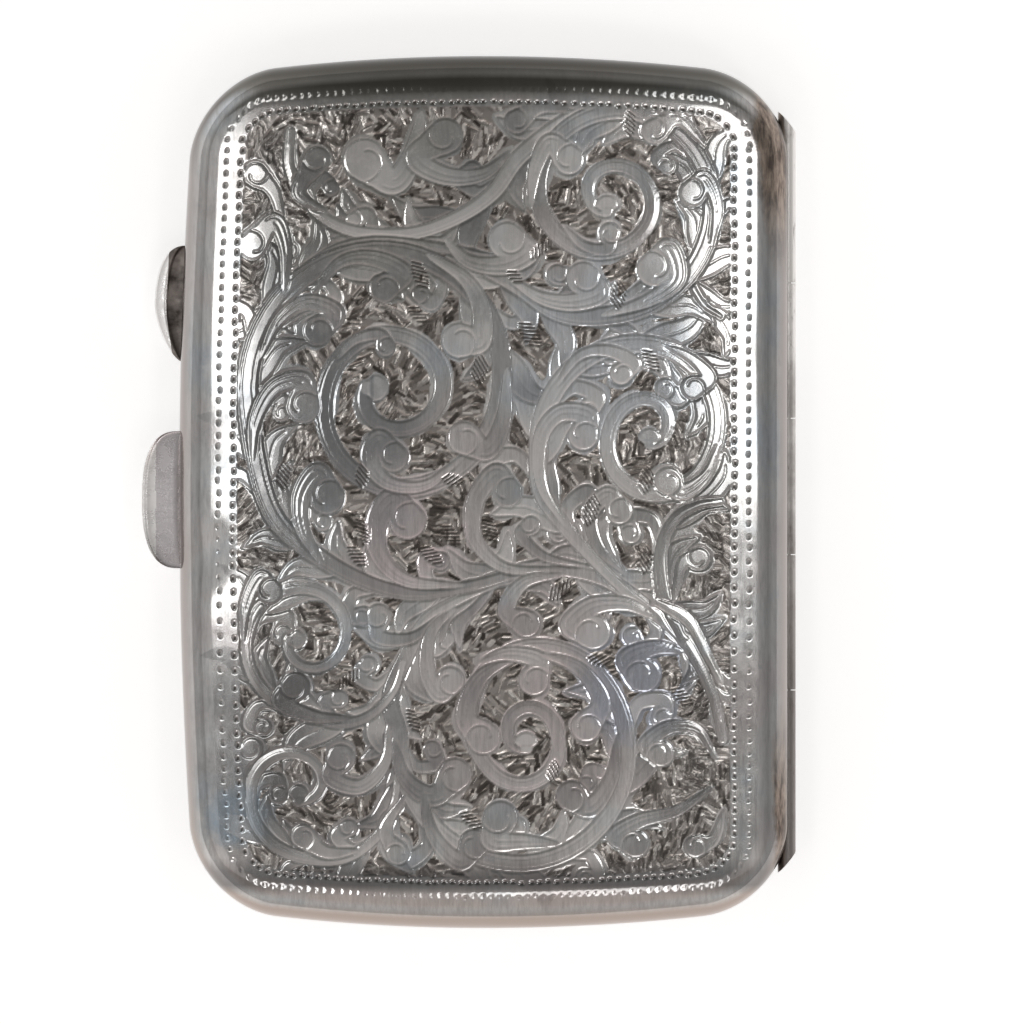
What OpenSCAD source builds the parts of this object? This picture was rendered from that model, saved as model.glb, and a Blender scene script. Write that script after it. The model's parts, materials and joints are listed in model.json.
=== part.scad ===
// Hip-curved pocket card case: two pressed silver shells on a five-knuckle tube hinge.
// The case lies on its back with the lid up. X runs across the case from the opening
// side to the hinge, Y runs along the hinge, and Z is up. The origin is under the
// middle of the whole object, on the surface that it lies on.

/* [Case] */
// Length along the hinge, over the bowed ends
case_l = 92; // [86:0.5:100]
// Width of the shells across the hinge
case_w = 64.6; // [60:0.2:70]
// Depth of each shell from the parting line to its face
shell_h = 4.5; // [4.3:0.1:5.5]
// Thickness of the sheet silver
wall = 0.7; // [0.6:0.05:0.8]
// Radius of the curve that lets the case sit against the hip
bend_r = 145; // [135:5:200]
// Width over which a shell's edge rolls from its wall into its face
edge_roll = 4.2; // [3.8:0.1:5]
// Gap between the two closed rims
rim_gap = 0.08; // [0.04:0.02:0.12]

/* [Outline] */
// Radius of the corners seen from above
corner_r = 9.2; // [7:0.1:11]
// How far the opening side bows outwards
front_bow = 1.75; // [0:0.05:2.5]
// How far each end bows outwards
end_bow = 2.35; // [0:0.05:3]

/* [Hinge] */
// Outer radius of the hinge tube
barrel_r = 0.95; // [0.85:0.05:1]
// Radius of the hinge pin
pin_r = 0.45; // [0.35:0.05:0.5]
// Clearance around the pin in the knuckles
pin_clear = 0.05; // [0.02:0.01:0.1]
// How far the hinge axis lies inside the edge of the shells
axis_inset = 0.02; // [0:0.02:0.14]
// Radius of the channel in the shells that the hinge tube lies in
channel_r = 1.2; // [1.1:0.05:1.3]
// Length of the hinge tube between its end plugs
barrel_l = 75; // [70:1:76]
// Distance from the hinge's middle to the ends of the middle knuckle
middle_joint = 7.2; // [6:0.1:9]
// Distance from the hinge's middle to the outer knuckle joints
outer_joint = 21.5; // [19:0.1:24]
// How far the row of knuckle joints is set off from the middle
joint_shift = 0.6; // [-1:0.1:1]
// End play between neighbouring knuckles
knuckle_gap = 0.1; // [0.05:0.01:0.2]

/* [Thumb pieces] */
// Length of the lid's thumb piece
lid_thumb_l = 14.5; // [10:0.5:18]
// How far the lid's thumb piece stands out
lid_thumb_out = 3.95; // [2.5:0.05:4.5]
// Position of the lid's thumb piece along the case
lid_thumb_y = -0.8; // [-4:0.1:4]
// Length of the base's thumb piece
base_thumb_l = 12.3; // [9:0.1:15]
// How far the base's thumb piece stands out
base_thumb_out = 3.2; // [2:0.05:3.5]
// Position of the base's thumb piece along the case
base_thumb_y = 19.9; // [17:0.1:22]

/* [Inside] */
// Height of the bezel above the base's rim
bezel_h = 1; // [0.7:0.1:1.1]
// Width of the elastic strap
strap_w = 8; // [6:0.5:12]
// Thickness of the elastic strap
strap_t = 0.6; // [0.5:0.05:0.8]
// Radius of the round snap pips on the bezel
pip_r = 0.35; // [0.3:0.05:0.4]

/* [Hidden] */
$fn = 48;

silver = [0.74, 0.73, 0.71];
gilt = [0.83, 0.69, 0.40];
worn_silver = [0.60, 0.59, 0.57];
elastic = [0.36, 0.26, 0.17];

half_w = case_w / 2;
half_l = case_l / 2;
rim_z = rim_gap / 2;
to_deg = 180 / PI;

// Facets of a shell: along a corner, an end, the two long sides, the roll and the face
corner_steps = 6;
end_steps = 8;
front_steps = 8;
hinge_steps = 6;
roll_steps = 6;
face_steps = 5;

// Corners of a straight-sided outline, inset by d
function corner_arc(sx, sy, start, d) = [
    for (i = [0 : corner_steps])
        let (t = start + 90 * i / corner_steps)
        [sx * (half_w - corner_r) + (corner_r - d) * cos(t),
         sy * (half_l - corner_r) + (corner_r - d) * sin(t)]
];

// Points strictly between p and q
function between(p, q, steps) = [for (i = [1 : steps - 1]) p + (q - p) * i / steps];

// Outline inset by d, anticlockwise from the hinge side's upper end
function straight_ring(d) =
    let (
        a = corner_arc(1, 1, 0, d),
        b = corner_arc(-1, 1, 90, d),
        c = corner_arc(-1, -1, 180, d),
        e = corner_arc(1, -1, 270, d)
    )
    concat(
        a, between(a[corner_steps], b[0], end_steps),
        b, between(b[corner_steps], c[0], front_steps),
        c, between(c[corner_steps], e[0], end_steps),
        e, between(e[corner_steps], a[0], hinge_steps)
    );

// Bows the opening side and the ends outwards, and leaves the hinge side straight
function bowed(p) = [
    p[0] < 0 ? p[0] * (1 - front_bow / half_w * pow(p[1] / half_l, 2)) : p[0],
    p[1] * (1 - end_bow / half_l * pow(p[0] / half_w, 2))
];

// Wraps a point at height z above the parting surface round the hip curve
function bent(p, z) =
    let (a = p[0] / bend_r * to_deg)
    [(bend_r + z) * sin(a), p[1], (bend_r + z) * cos(a) - bend_r];

function ring_at(d, z, scale = 1) = [
    for (p = straight_ring(d)) bent(bowed(p * scale), z)
];

// The edge roll is a quarter ellipse, t degrees round from the rim to the face
function roll_inset(t, skin) = skin + (edge_roll - skin) * (1 - cos(t));
function roll_z(t, skin) = rim_z + (shell_h - skin - rim_z) * sin(t);

hinge_a = (half_w - axis_inset) / bend_r * to_deg;
edge_a = half_w / bend_r * to_deg;
hinge_at = bent([half_w - axis_inset, 0], 0);
edge_at = bent([-half_w, 0], 0);

// The lowest line of the back, and the middle between thumb piece and hinge tube
lift = -min([
    for (i = [0 : roll_steps])
        let (t = 90 * i / roll_steps)
        bent([half_w - roll_inset(t, 0), 0], -roll_z(t, 0))[2]
]);
thumb_lip_z = 1.3;
outer_left = -edge_at[0] + lid_thumb_out * cos(edge_a) + thumb_lip_z * sin(edge_a);
outer_right = hinge_at[0] + barrel_r;
shift_x = (outer_left - outer_right) / 2;

ring_n = len(straight_ring(0));

// Points of one skin of a shell, from its rim to its middle; side is 1 for the lid
function skin_points(skin, side) = concat(
    [for (k = [0 : roll_steps])
        let (t = 90 * k / roll_steps)
        each ring_at(roll_inset(t, skin), side * roll_z(t, skin))],
    [for (k = [1 : face_steps - 1])
        each ring_at(edge_roll, side * (shell_h - skin), 1 - k / face_steps)],
    [bent([0, 0], side * (shell_h - skin))]
);
skin_rings = roll_steps + face_steps;
skin_n = skin_rings * ring_n + 1;

function flipped(faces, flip) = [
    for (f = faces) flip ? [for (i = [len(f) - 1 : -1 : 0]) f[i]] : f
];

function skin_faces(start) = concat(
    [for (k = [0 : skin_rings - 2], i = [0 : ring_n - 1])
        let (j = (i + 1) % ring_n, a = start + k * ring_n, b = a + ring_n)
        each [[a + i, b + i, b + j], [a + i, b + j, a + j]]],
    [for (i = [0 : ring_n - 1])
        let (a = start + (skin_rings - 1) * ring_n)
        [a + i, start + skin_n - 1, a + (i + 1) % ring_n]]
);

function rim_faces() = [
    for (i = [0 : ring_n - 1])
        let (j = (i + 1) % ring_n)
        each [[i, j, skin_n + j], [i, skin_n + j, skin_n + i]]
];

// Moves a piece from the middle of the parting surface into the part's frame
module placed() {
    translate([shift_x, 0, lift])
        children();
}

// Local frame of the hinge axis: X points out of the case, Z along the lid's wall
module at_hinge() {
    placed()
        translate(hinge_at)
            rotate([0, hinge_a, 0])
                children();
}

// Local frame of the opening edge: -X points out of the case, Z along the lid's wall
module at_opening() {
    placed()
        translate(edge_at)
            rotate([0, -edge_a, 0])
                children();
}

// A round bar along Y from y0 to y1
module bar(r, y0, y1) {
    translate([0, y1, 0])
        rotate([90, 0, 0])
            cylinder(r = r, h = y1 - y0);
}

channel_l = barrel_l + 8;

module shell(side) {
    difference() {
        placed()
            polyhedron(
                points = concat(skin_points(0, side), skin_points(wall, side)),
                faces = flipped(
                    concat(
                        skin_faces(0),
                        flipped(skin_faces(skin_n), true),
                        rim_faces()
                    ),
                    side < 0
                )
            );
        at_hinge()
            bar(channel_r, -channel_l / 2, channel_l / 2);
    }
}

module base_shell() {
    color(silver)
        shell(-1);
}

module lid_shell() {
    color(silver)
        shell(1);
}

// The bezel lines the base's wall on three sides and stands up inside the lid.
// Its section goes from the foot up the wall, over the top and back down inside.
bezel_t = 0.4;
bezel_foot_t = 30;
bezel_step_t = 15;
bezel_clear = 0.25;
bezel_lean = 0.3;
bezel_section = [
    [roll_inset(bezel_foot_t, wall), -roll_z(bezel_foot_t, wall)],
    [roll_inset(bezel_step_t, wall), -roll_z(bezel_step_t, wall)],
    [wall, -rim_z],
    [wall + bezel_clear, -rim_z],
    [wall + bezel_clear + bezel_lean, bezel_h],
    [wall + bezel_clear + bezel_lean + bezel_t, bezel_h],
    [wall + bezel_clear + bezel_t, -rim_z],
    [roll_inset(bezel_foot_t, wall) + bezel_t, -roll_z(bezel_foot_t, wall)]
];
bezel_from = 4;
bezel_to = ring_n - hinge_steps - bezel_from;

module base_bezel() {
    n = len(bezel_section);
    rings = [for (s = bezel_section) ring_at(s[0], s[1])];
    last = bezel_to - bezel_from;
    color(gilt)
        placed()
            polyhedron(
                points = [for (i = [bezel_from : bezel_to], k = [0 : n - 1]) rings[k][i]],
                faces = concat(
                    [[for (k = [n - 1 : -1 : 0]) k]],
                    [for (i = [0 : last - 1], k = [0 : n - 1])
                        let (m = (k + 1) % n, a = i * n, b = a + n)
                        each [[a + k, a + m, b + m], [a + k, b + m, b + k]]],
                    [[for (k = [0 : n - 1]) last * n + k]]
                )
            );
}

// Two round pips near the opening side's corners hold the lid shut
pip_x = -21;
pip_z = 0.45;

module snap_pips() {
    color(silver)
        placed()
            for (side = [-1, 1])
                translate(bent(bowed([pip_x, side * (half_l - wall - bezel_clear - bezel_lean)]), pip_z))
                    sphere(r = pip_r);
}

// Ends of the five knuckles along the hinge, from the bottom end to the top end
joints = [
    -barrel_l / 2,
    joint_shift - outer_joint,
    joint_shift - middle_joint,
    joint_shift + middle_joint,
    joint_shift + outer_joint,
    barrel_l / 2
];

// Knuckle 1 is at the top end
module knuckle(number) {
    y0 = joints[5 - number] + (number == 5 ? 0 : knuckle_gap / 2);
    y1 = joints[6 - number] - (number == 1 ? 0 : knuckle_gap / 2);
    color(worn_silver)
        at_hinge()
            difference() {
                bar(barrel_r, y0, y1);
                bar(pin_r + pin_clear, y0 - 1, y1 + 1);
            }
}

module hinge_pin() {
    color(worn_silver)
        at_hinge()
            bar(pin_r, -barrel_l / 2, barrel_l / 2);
}

// A plug closes each end of the tube and is filed off in line with the corner
plug_l = 4;
plug_cut_a = 50;
plug_cut_y = 0.4;

module hinge_plug(side) {
    big = 10;
    color(worn_silver)
        at_hinge()
            mirror([0, side > 0 ? 0 : 1, 0])
                difference() {
                    bar(barrel_r, barrel_l / 2, barrel_l / 2 + plug_l);
                    translate([barrel_r, barrel_l / 2 + plug_cut_y, 0])
                        rotate([0, 0, -plug_cut_a])
                            translate([-big, 0, -big / 2])
                                cube([2 * big, big, big]);
                }
}

// A strip inside the straight part of the wall joins each shell to its own knuckles
bearer_w = 2.6;
bearer_h = 1.8;
bearer_clear = 0.03;
bearer_inset = wall - axis_inset + bearer_clear;
bearer_end_clear = 0.4;
bearer_l = 2 * (bowed([half_w, half_l - corner_r])[1] - bearer_end_clear);

function bearer_outline() = concat(
    [for (t = [0 : bezel_step_t : bezel_foot_t])
        [-(roll_inset(t, wall) - wall + bearer_inset), min(roll_z(t, wall), bearer_h)]],
    [[-bearer_w, bearer_h], [-bearer_w, rim_z]]
);

module hinge_bearer(side, own) {
    at_hinge()
        difference() {
            translate([0, bearer_l / 2, 0])
                rotate([90, 0, 0])
                    linear_extrude(height = bearer_l)
                        polygon([for (p = bearer_outline()) [p[0], side * p[1]]]);
            for (number = [1 : 5]) {
                mine = len(search(number, own)) > 0;
                bar(
                    mine ? barrel_r : channel_r,
                    joints[5 - number] - (mine ? 0 : knuckle_gap) - (number == 5 ? 1 : 0),
                    joints[6 - number] + (mine ? 0 : knuckle_gap) + (number == 1 ? 1 : 0)
                );
            }
        }
}

module base_hinge_bearer() {
    color(gilt)
        hinge_bearer(-1, [1, 3, 5]);
}

module lid_hinge_bearer() {
    color(gilt)
        hinge_bearer(1, [2, 4]);
}

// Seen from above a thumb piece is half a superellipse set against the bowed wall.
// The lower end of the base's thumb piece runs out in a slope.
thumb_power = 2.3;
slope_power = 1.5;
thumb_steps = 16;

function thumb_plan(length, out, centre, low_power) =
    let (
        wall_x = function (y) front_bow * pow(y / half_l, 2),
        side = [for (i = [0 : thumb_steps]) centre + length * (i / thumb_steps - 0.5)]
    )
    concat(
        [for (i = [0 : thumb_steps])
            let (
                v = abs(cos(180 * i / thumb_steps)),
                y = centre - length / 2 * cos(180 * i / thumb_steps),
                p = 2 * i < thumb_steps ? low_power : thumb_power
            )
            [wall_x(y) - out * pow(1 - pow(v, p), 1 / p), y]],
        [for (i = [thumb_steps - 1 : -1 : 1]) [wall_x(side[i]), side[i]]]
    );

// Its section is a shallow scoop with a raised lip
function lid_thumb_section(out) = [
    [1, 0.12],
    [1, 0.85],
    [0, 0.85],
    [-0.35 * out, 0.75],
    [-0.8 * out, 0.95],
    [-out, thumb_lip_z],
    [-out, 0.55],
    [-0.75 * out, 0.12]
];

function base_thumb_section(out) = [
    [1, -1.15],
    [1, -0.45],
    [0, -0.45],
    [-0.4 * out, -0.55],
    [-0.75 * out, -0.4],
    [-out, -0.12],
    [-out, -0.75],
    [-0.7 * out, -1.15]
];

module thumb_piece(length, out, centre, low_power, section) {
    tall = 6;
    at_opening()
        intersection() {
            translate([0, 0, -tall / 2])
                linear_extrude(height = tall)
                    polygon(thumb_plan(length, out, centre, low_power));
            translate([0, centre + length, 0])
                rotate([90, 0, 0])
                    linear_extrude(height = 2 * length)
                        polygon(section);
        }
}

module lid_thumb_piece() {
    color(silver)
        thumb_piece(
            lid_thumb_l, lid_thumb_out, lid_thumb_y, thumb_power,
            lid_thumb_section(lid_thumb_out)
        );
}

module base_thumb_piece() {
    color(worn_silver)
        thumb_piece(
            base_thumb_l, base_thumb_out, base_thumb_y, slope_power,
            base_thumb_section(base_thumb_out)
        );
}

// A band round the hip curve: z0 to z1 above the parting surface, x0 to x1 across it
module band(width, z0, z1, x0, x1) {
    placed()
        translate([0, 0, -bend_r])
            rotate([90, 0, 0])
                rotate_extrude(
                    start = 90 - x1 / bend_r * to_deg,
                    angle = (x1 - x0) / bend_r * to_deg,
                    $fn = 360
                )
                    translate([bend_r + z0, -width / 2])
                        square([z1 - z0, width]);
}

// The strap lies along the floor of the base, and a folded clip holds each end
floor_z = -(shell_h - wall);
clip_foot_t = 0.25;
clip_top_t = 0.3;
strap_z = floor_z + clip_foot_t;
strap_half = 27;
clip_l = 3.5;
clip_back_t = 0.5;
clip_side_w = 0.5;

module card_strap() {
    color(elastic)
        band(strap_w, strap_z, strap_z + strap_t, -strap_half, strap_half);
}

module strap_clip(side) {
    inner = strap_half - clip_l + clip_back_t;
    outer = strap_half + clip_back_t;
    width = strap_w + 2 * clip_side_w;
    color(gilt)
        difference() {
            band(
                width, floor_z, strap_z + strap_t + clip_top_t,
                side > 0 ? inner : -outer, side > 0 ? outer : -inner
            );
            band(
                strap_w, strap_z, strap_z + strap_t,
                side > 0 ? inner - 1 : -strap_half, side > 0 ? strap_half : 1 - inner
            );
        }
}

base_shell();
base_bezel();
snap_pips();
base_hinge_bearer();
knuckle(1);  // hinge_knuckle_1
knuckle(3);  // hinge_knuckle_3
knuckle(5);  // hinge_knuckle_5
hinge_pin();
hinge_plug(1);  // hinge_plug_top
hinge_plug(-1);  // hinge_plug_bottom
base_thumb_piece();
card_strap();
strap_clip(1);  // strap_clip_hinge_side
strap_clip(-1);  // strap_clip_opening_side
lid_shell();
lid_hinge_bearer();
knuckle(2);  // hinge_knuckle_2
knuckle(4);  // hinge_knuckle_4
lid_thumb_piece();
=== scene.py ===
"""Looks of the engraved pocket card case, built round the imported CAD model.

The shells, the bezel, the thumb pieces and the strap are replaced by finer pieces of the same size.
The hinge tube, its pin and plugs, the bearers, the clips and the pips keep their CAD shape.
Sizes are in millimetres until a mesh is made, and the part's frame is the CAD's.
"""

import json
import math

import bpy
import numpy as np
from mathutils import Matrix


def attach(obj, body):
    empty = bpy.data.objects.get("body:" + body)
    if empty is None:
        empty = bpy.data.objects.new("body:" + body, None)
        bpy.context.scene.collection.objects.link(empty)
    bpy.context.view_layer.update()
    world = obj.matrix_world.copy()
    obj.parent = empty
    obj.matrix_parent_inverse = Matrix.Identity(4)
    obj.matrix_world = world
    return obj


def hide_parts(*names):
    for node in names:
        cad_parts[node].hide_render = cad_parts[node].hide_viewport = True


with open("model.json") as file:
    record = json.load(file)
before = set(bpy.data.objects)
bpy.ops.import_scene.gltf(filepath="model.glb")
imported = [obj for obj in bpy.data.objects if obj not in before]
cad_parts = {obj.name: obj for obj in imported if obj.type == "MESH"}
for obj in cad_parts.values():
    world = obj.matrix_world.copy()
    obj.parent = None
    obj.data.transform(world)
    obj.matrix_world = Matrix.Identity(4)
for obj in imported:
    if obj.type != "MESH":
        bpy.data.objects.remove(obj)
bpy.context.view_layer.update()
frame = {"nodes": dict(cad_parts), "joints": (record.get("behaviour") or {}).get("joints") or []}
MM = 0.001
rng = np.random.default_rng(1912)

# ---------------------------------------------------------------- the case's own dimensions

CASE_L, CASE_W = 92.0, 64.6
SHELL_H, WALL = 4.5, 0.7
BEND_R = 145.0
EDGE_ROLL = 4.2
RIM_Z = 0.04
CORNER_R = 9.2
FRONT_BOW, END_BOW = 1.75, 2.35
AXIS_INSET = 0.02
CHANNEL_R = 1.2
HALF_W, HALF_L = CASE_W / 2, CASE_L / 2

# The frame gives the hinge's place, and with it the place of everything else
hinge = frame["joints"][0]
HINGE_X, HINGE_Z = hinge["pos_m"][0] / MM, hinge["pos_m"][2] / MM
HINGE_A = (HALF_W - AXIS_INSET) / BEND_R
EDGE_A = HALF_W / BEND_R
SHIFT_X = HINGE_X - BEND_R * math.sin(HINGE_A)
LIFT = HINGE_Z - BEND_R * (math.cos(HINGE_A) - 1)
FACE_R = BEND_R + SHELL_H


def bow(u, v):
    """Bows the opening side and the ends outwards, and leaves the hinge side straight."""
    x = np.where(u < 0, u * (1 - FRONT_BOW / HALF_W * (v / HALF_L) ** 2), u)
    return x, v * (1 - END_BOW / HALF_L * (u / HALF_W) ** 2)


def wrap(x, y, z):
    """Bends flat points at height z round the hip curve, in the part's frame."""
    a = x / BEND_R
    return np.stack([(BEND_R + z) * np.sin(a) + SHIFT_X, y, (BEND_R + z) * np.cos(a) - BEND_R + LIFT], -1)


def place(u, v, z):
    """The same for points on the straight outline, which are bowed first."""
    x, y = bow(u, v)
    return wrap(x, y, z)


def roll_inset(t, skin):
    """How far in from the outline the edge's roll is at angle t, where 0 is the rim."""
    return skin + (EDGE_ROLL - skin) * (1 - np.cos(t))


def roll_z(t, skin):
    """The height of the edge's roll at angle t."""
    return RIM_Z + (SHELL_H - skin - RIM_Z) * np.sin(t)


def lid_view(u, v):
    """Where a point of the lid's face is seen from above, from the middle of the lid."""
    x, y = bow(np.asarray(u, float), np.asarray(v, float))
    return FACE_R * np.sin(x / BEND_R), y


# ---------------------------------------------------------------- meshes


def make_piece(name, points, quads, tris=()):
    """A mesh object from points in mm, with quads and triangles as index arrays."""
    quads = np.asarray(quads, np.int32).reshape(-1, 4)
    tris = np.asarray(tris, np.int32).reshape(-1, 3)
    mesh = bpy.data.meshes.new(name)
    mesh.vertices.add(len(points))
    mesh.vertices.foreach_set("co", (np.asarray(points) * MM).astype(np.float32).ravel())
    mesh.loops.add(quads.size + tris.size)
    mesh.loops.foreach_set("vertex_index", np.concatenate([quads.ravel(), tris.ravel()]))
    mesh.polygons.add(len(quads) + len(tris))
    starts = np.concatenate([np.arange(len(quads)) * 4, quads.size + np.arange(len(tris)) * 3])
    mesh.polygons.foreach_set("loop_start", starts.astype(np.int32))
    mesh.update(calc_edges=True)
    mesh.validate()
    mesh.polygons.foreach_set("use_smooth", np.ones(len(mesh.polygons), bool))
    obj = bpy.data.objects.new(name, mesh)
    bpy.context.scene.collection.objects.link(obj)
    return obj


def paint(obj, name, values):
    """Keeps one number per vertex for the materials to read."""
    made = obj.data.attributes.new(name, "FLOAT", "POINT")
    made.data.foreach_set("value", np.asarray(values, np.float32))


def grid_quads(rows, columns, start=0, closed=False):
    """Quads of a grid of rows of points. A closed grid also joins each row's ends."""
    i, j = np.meshgrid(np.arange(rows - 1), np.arange(columns if closed else columns - 1), indexing="ij")
    k = (j + 1) % columns
    a, b = start + i * columns, start + (i + 1) * columns
    return np.stack([a + j, b + j, b + k, a + k], -1).reshape(-1, 4)


def tube_piece(name, rings):
    """A closed piece lofted through rings of points, with a fan over each end."""
    rings = np.asarray(rings)
    rows, columns = rings.shape[:2]
    points = np.concatenate([rings.reshape(-1, 3), rings[0].mean(0)[None], rings[-1].mean(0)[None]])
    j = np.arange(columns)
    k = (j + 1) % columns
    first, last = rows * columns, rows * columns + 1
    end = (rows - 1) * columns
    first_fan = np.stack([np.full(columns, first), j, k], -1)
    last_fan = np.stack([np.full(columns, last), end + k, end + j], -1)
    tris = np.concatenate([first_fan, last_fan])[:, ::-1]
    return make_piece(name, points, grid_quads(rows, columns, closed=True)[:, ::-1], tris)


def curve_through(points, steps):
    """A smooth line through the given points, with so many steps between neighbours."""
    p = np.asarray(points, float)
    if p.ndim == 1:
        p = p[:, None]
    ends = np.concatenate([2 * p[:1] - p[1:2], p, 2 * p[-1:] - p[-2:-1]])
    t = np.linspace(0, 1, steps, endpoint=False)[:, None]
    made = [
        0.5 * (2 * b + (c - a) * t + (2 * a - 5 * b + 4 * c - d) * t**2 + (3 * b - a - 3 * c + d) * t**3)
        for a, b, c, d in zip(ends[:-3], ends[1:-2], ends[2:-1], ends[3:])
    ]
    return np.concatenate([*made, p[-1:]])


# ---------------------------------------------------------------- the engraver's plate

CELL = 0.06
PLATE_X, PLATE_Y = 31.0, 46.0
FAR = 9.0


class Plate:
    """The lid seen from above as a fine grid.

    It keeps the cut's depth, where leaves stand, where the ground is roughened, a tint for each leaf or
    stroke, and how far a place is inside the engraved panel.
    """

    def __init__(self):
        self.x = np.arange(-PLATE_X, PLATE_X, CELL)
        self.y = np.arange(-PLATE_Y, PLATE_Y, CELL)
        shape = (len(self.x), len(self.y))
        self.cut = np.zeros(shape, np.float32)
        self.leaf = np.zeros(shape, bool)
        self.ground = np.zeros(shape, np.float32)
        self.tint = np.full(shape, 0.5, np.float32)
        self.panel = np.zeros(shape, np.float32)

    def window(self, low, high):
        """The slices of cells between two corners."""
        i = np.clip(np.searchsorted(self.x, [low[0], high[0]]), 0, len(self.x))
        j = np.clip(np.searchsorted(self.y, [low[1], high[1]]), 0, len(self.y))
        return slice(*i), slice(*j)

    def stroke(self, points, radii, reach):
        """Distance to a tapered stroke's edge, and how far along it, near the stroke."""
        points, radii = np.asarray(points, float), np.asarray(radii, float)
        margin = radii[:, None] + reach
        win = self.window((points - margin).min(0), (points + margin).max(0))
        x, y = self.x[win[0]], self.y[win[1]]
        dist = np.full((len(x), len(y)), FAR, np.float32)
        along = np.zeros_like(dist)
        lengths = np.hypot(*np.diff(points, axis=0).T)
        total = np.concatenate([[0], np.cumsum(lengths)])
        for k in range(len(points) - 1):
            p, q, r0, r1 = points[k], points[k + 1], radii[k], radii[k + 1]
            big = max(r0, r1) + reach
            i0, i1 = np.searchsorted(x, [min(p[0], q[0]) - big, max(p[0], q[0]) + big])
            j0, j1 = np.searchsorted(y, [min(p[1], q[1]) - big, max(p[1], q[1]) + big])
            if i0 == i1 or j0 == j1:
                continue
            gx, gy = x[i0:i1, None] - p[0], y[None, j0:j1] - p[1]
            dx, dy = q - p
            t = np.clip((gx * dx + gy * dy) / max(lengths[k] ** 2, 1e-9), 0, 1)
            d = np.hypot(gx - t * dx, gy - t * dy) - (r0 + (r1 - r0) * t)
            part = dist[i0:i1, j0:j1]
            nearer = d < part
            part[nearer] = d[nearer]
            s = (total[k] + t * lengths[k]) / max(total[-1], 1e-9)
            along[i0:i1, j0:j1][nearer] = s[nearer]
        return win, dist, along

    def away(self, mask, steps):
        """How far each cell is from the marked ones, in mm, as far as so many steps."""
        far = np.where(mask, 0, steps + 1).astype(np.float32)
        for _ in range(steps):
            for a, b in ((far[1:], far[:-1]), (far[:, 1:], far[:, :-1])):
                np.minimum(a, b + 1, out=a)
                np.minimum(b, a + 1, out=b)
            for a, b in ((far[1:, 1:], far[:-1, :-1]), (far[1:, :-1], far[:-1, 1:])):
                np.minimum(a, b + 1.41, out=a)
                np.minimum(b, a + 1.41, out=b)
        return far * CELL

    def cloud(self, size):
        """Smooth random values from 0 to 1, in patches of about this size in mm."""
        x, y = (self.x + PLATE_X) / size, (self.y + PLATE_Y) / size
        i, j = x.astype(int), y.astype(int)
        values = rng.random((i[-1] + 2, j[-1] + 2)).astype(np.float32)
        a, b = [(f * f * (3 - 2 * f)).astype(np.float32) for f in (x - i, y - j)]
        rows = values[i] * (1 - a[:, None]) + values[i + 1] * a[:, None]
        return rows[:, j] * (1 - b) + rows[:, j + 1] * b


plate = Plate()
leaf_tones = np.random.default_rng(77)


def groove(points, half, depth, taper=0.25):
    """One graver cut along a line: a V of even width."""
    n = len(points)
    swell = np.sin(np.pi * np.linspace(0.08, 0.92, n)) ** taper
    win, d, _ = plate.stroke(points, np.full(n, 0.001), half)
    wide = half * float(swell.max())
    v = np.clip(1 - d / wide, 0, 1) * depth
    np.maximum(plate.cut[win], v, out=plate.cut[win])


OUTLINE_DEPTH = 0.052


def flat_leaf(points, radii, line, fade=0.12, swells=2.0, phase=0.0):
    """Leaves a tapered leaf standing and cuts its outline, which fades out at the root.

    Each leaf has its own tone, which changes along it.
    """
    win, d, s = plate.stroke(points, radii, 0.5)
    inside = d < 0
    plate.leaf[win][inside] = True
    plate.cut[win][inside] = 0
    tone = leaf_tones.uniform(0.1, 0.9) + 0.22 * np.sin(np.pi * (swells * s + leaf_tones.random() * 2))
    plate.tint[win][inside] = np.clip(tone, 0, 1)[inside]
    half = line * (1 + 0.7 * np.sin(np.pi * (swells * s + phase)) ** 2)
    v = np.clip(1 - np.abs(d) / half, 0, 1) * OUTLINE_DEPTH * np.clip(s / max(fade, 1e-3), 0, 1)
    np.maximum(plate.cut[win], v, out=plate.cut[win])


def beside(points, offset):
    """The same line, moved sideways: to the left of its direction if offset is positive."""
    step = np.gradient(points, axis=0)
    step /= np.maximum(np.hypot(*step.T)[:, None], 1e-9)
    return points + np.stack([-step[:, 1], step[:, 0]], -1) * np.reshape(offset, (-1, 1))


HATCH_PITCH, HATCH_LEAN = 0.42, 60


def hatch(middle, angle, length, count):
    """A row of short parallel cuts: angle is the row's direction, in degrees."""
    along = np.array([math.cos(math.radians(angle)), math.sin(math.radians(angle))])
    a = math.radians(angle + HATCH_LEAN)
    across = np.array([math.cos(a), math.sin(a)])
    for k in range(count):
        at = np.asarray(middle) + along * HATCH_PITCH * (k - (count - 1) / 2)
        reach = length * (0.35 + 0.3 * math.sin(math.pi * (k + 0.5) / count))
        groove(np.array([at - across * reach, at, at + across * reach]), 0.15, 0.11)


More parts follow.
